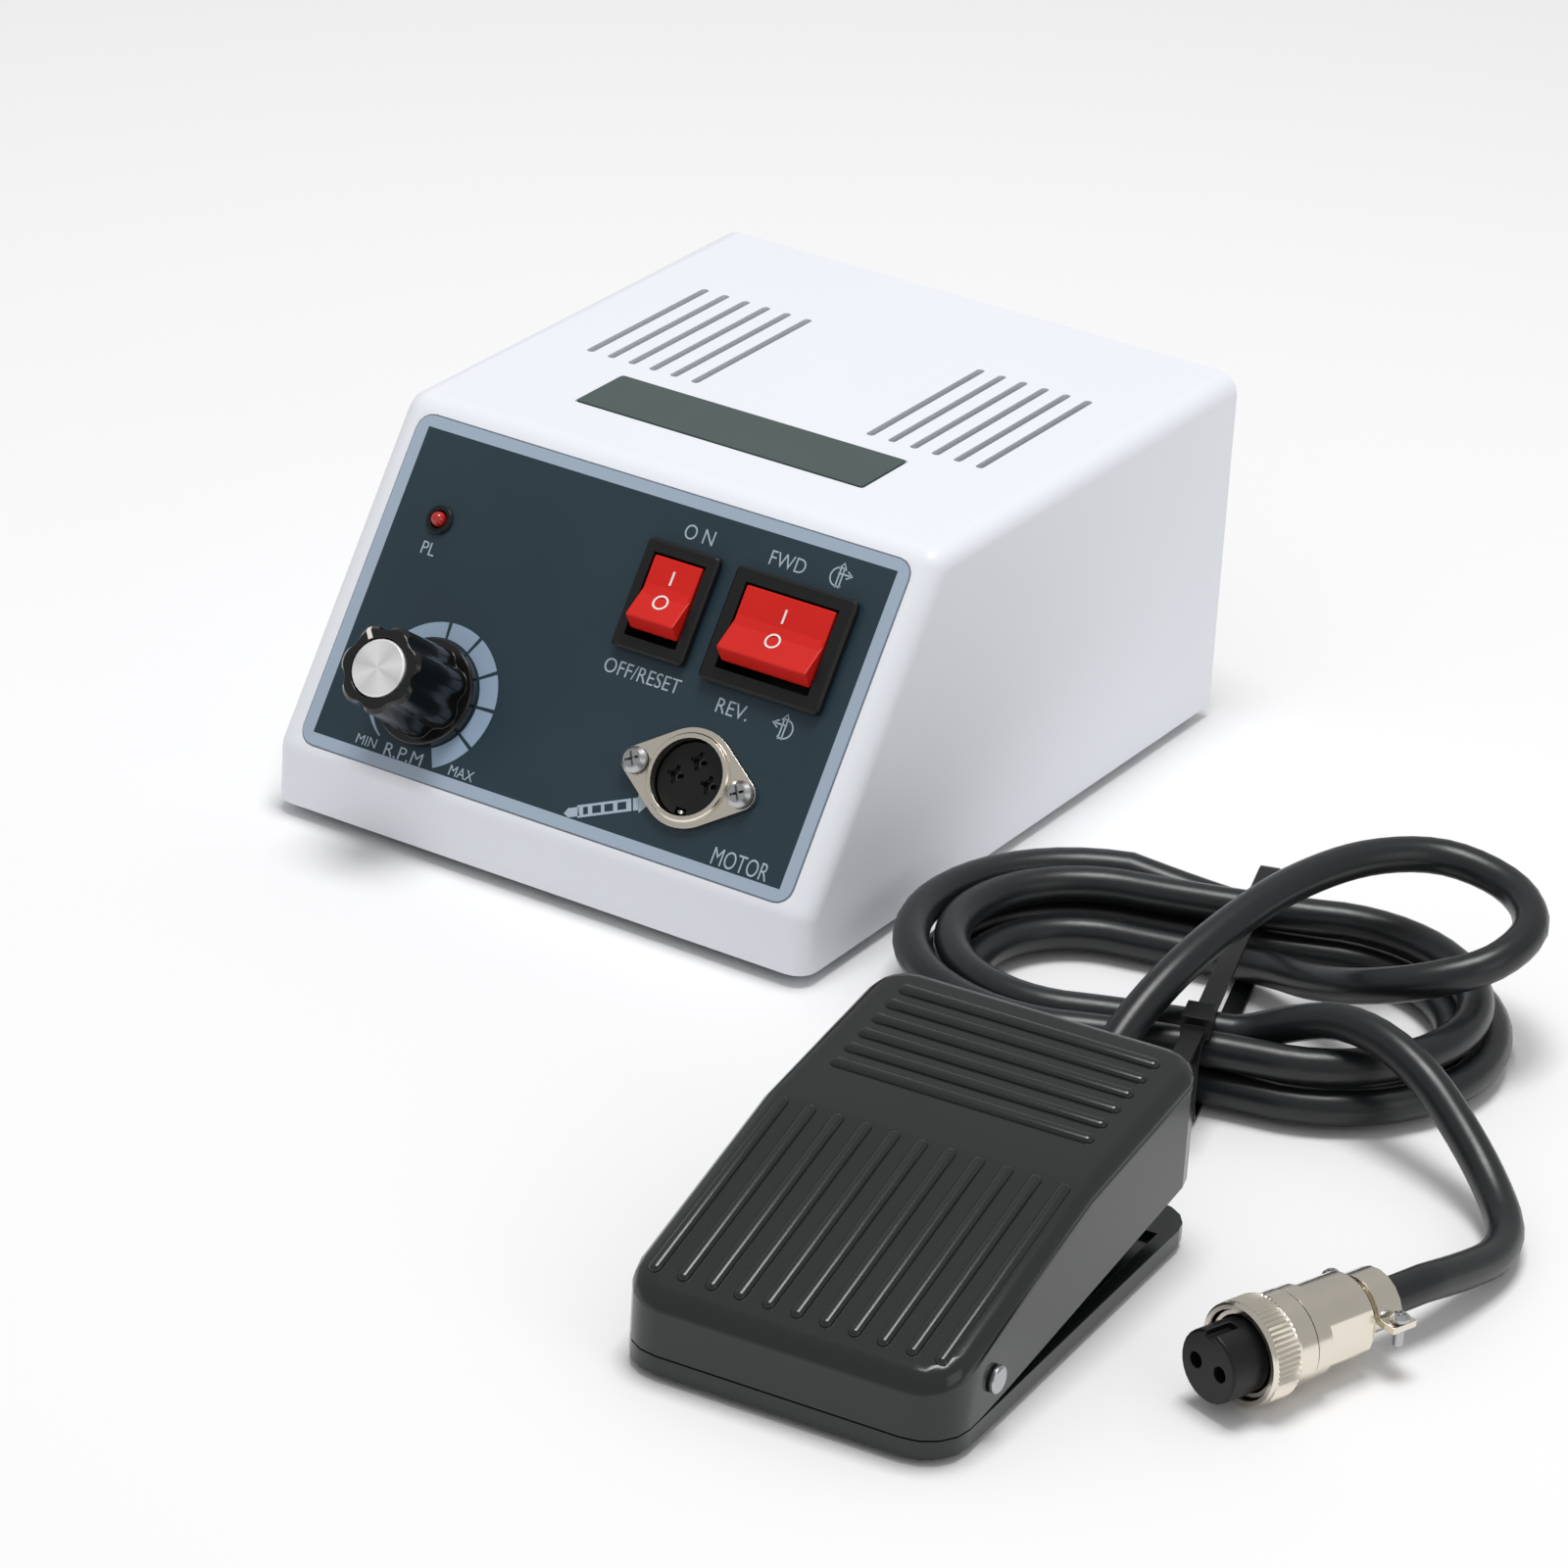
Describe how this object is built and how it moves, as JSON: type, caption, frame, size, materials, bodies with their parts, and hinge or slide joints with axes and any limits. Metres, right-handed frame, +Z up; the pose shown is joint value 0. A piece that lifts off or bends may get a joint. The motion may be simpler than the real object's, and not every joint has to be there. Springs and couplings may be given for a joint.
{
  "type": "electric nail drill control set",
  "caption": "Micro-motor control box with a sloped panel, speed knob, rocker switches and handpiece socket, with its treadle foot pedal on a tied cord and round plug.",
  "frame": {"origin": "on the floor, under the middle of the area that the box and the pedal cover together", "axes": "+Z up; +Y from the control panel towards the back of the box; +X to the right as seen by the user in front of the panel"},
  "size_m": [0.2629, 0.2796, 0.0712],
  "materials": {
    "case_plastic": "fine satin moulding",
    "label_film": "satin printed film",
    "black_plastic": "satin",
    "pedal_plastic": "semi-gloss moulding",
    "red_plastic": "gloss",
    "red_lens": "clear gloss",
    "nickel": "bright nickel plate",
    "steel": "zinc plated",
    "aluminium": "spun face",
    "rubber": "matte",
    "cord_jacket": "satin",
    "board": "solder mask",
    "winding_tape": "tape",
    "core_steel": "varnished laminations"
  },
  "bodies": {
    "body": {"base_plate": "black_plastic", "cable_tie": "black_plastic", "case_screw_1": "steel", "case_screw_2": "steel", "case_screw_3": "steel", "case_screw_4": "steel", "circuit_board": "board", "clamp_screw_1": "steel", "clamp_screw_2": "steel", "cord_clamp": "nickel", "cord_gland": "rubber", "cord_hank": "cord_jacket", "cord_lead": "cord_jacket", "cord_tail": "cord_jacket", "direction_switch_body": "black_plastic", "filter_capacitor": "label_film", "foot_1": "rubber", "foot_2": "rubber", "foot_3": "rubber", "foot_4": "rubber", "foot_switch_body": "black_plastic", "front_label": "label_film", "fuse_holder": "black_plastic", "heat_sink": "aluminium", "hinge_pin": "steel", "lamp_holder": "black_plastic", "mains_inlet": "black_plastic", "motor_socket_flange": "nickel", "motor_socket_insert": "black_plastic", "nameplate": "label_film", "pedal_base": "pedal_plastic", "pedal_mat": "rubber", "pedal_socket": "nickel", "pedal_socket_nut": "nickel", "pilot_lamp": "red_lens", "plug_body": "nickel", "plug_insert": "black_plastic", "potentiometer_nut": "steel", "power_switch_body": "black_plastic", "power_transistor": "black_plastic", "rear_panel": "black_plastic", "return_spring": "steel", "socket_screw_1": "steel", "socket_screw_2": "steel", "speed_potentiometer": "aluminium", "top_shell": "case_plastic", "transformer_coil": "winding_tape", "transformer_core": "core_steel"},
    "knob": {"speed_knob": "black_plastic", "knob_cap": "aluminium", "potentiometer_shaft": "aluminium"},
    "power_button": {"power_rocker": "red_plastic"},
    "direction_button": {"direction_rocker": "red_plastic"},
    "fuse_top": {"fuse_cap": "black_plastic"},
    "treadle": {"pedal_cover": "pedal_plastic"},
    "snap_lever": {"foot_switch_lever": "steel"},
    "plug_ring": {"coupling_ring": "nickel"}
  },
  "joints": [
    {"name": "speed_knob_turn", "type": "hinge", "parent": "body", "child": "knob", "pos_m": [-0.08227, -0.00466, 0.02811], "axis": [0, -0.8253, 0.5647], "range_deg": [-195, 105]},
    {"name": "power_rocker_tilt", "type": "hinge", "parent": "body", "child": "power_button", "pos_m": [-0.04212, 0.01336, 0.05092], "axis": [1, 0, 0], "range_deg": [0, 26]},
    {"name": "direction_rocker_tilt", "type": "hinge", "parent": "body", "child": "direction_button", "pos_m": [-0.01812, 0.01311, 0.05055], "axis": [1, 0, 0], "range_deg": [0, 26]},
    {"name": "fuse_cap_turn", "type": "hinge", "parent": "body", "child": "fuse_top", "pos_m": [-0.04397, 0.13018, 0.0475], "axis": [0, 1, 0], "range_deg": [0, 90]},
    {"name": "pedal_press", "type": "hinge", "parent": "body", "child": "treadle", "pos_m": [0.04895, -0.12486, 0.0102], "axis": [-0.9976, -0.0698, 0], "range_deg": [0, 5.5], "stiffness_Nm_per_rad": 4, "springref_deg": -2.86, "deforming": ["return_spring"]},
    {"name": "snap_lever_tilt", "type": "hinge", "parent": "body", "child": "snap_lever", "pos_m": [0.07778, -0.10851, 0.0187], "axis": [-0.9976, -0.0698, 0], "range_deg": [0, 11]},
    {"name": "coupling_ring_turn", "type": "hinge", "parent": "body", "child": "plug_ring", "pos_m": [0.13453, -0.08882, 0.00875], "axis": [0.3173, 0.9483, 0], "continuous": true}
  ],
  "couplings": [
    {"joint": "snap_lever_tilt", "follows": "pedal_press", "ratio": 2}
  ]
}
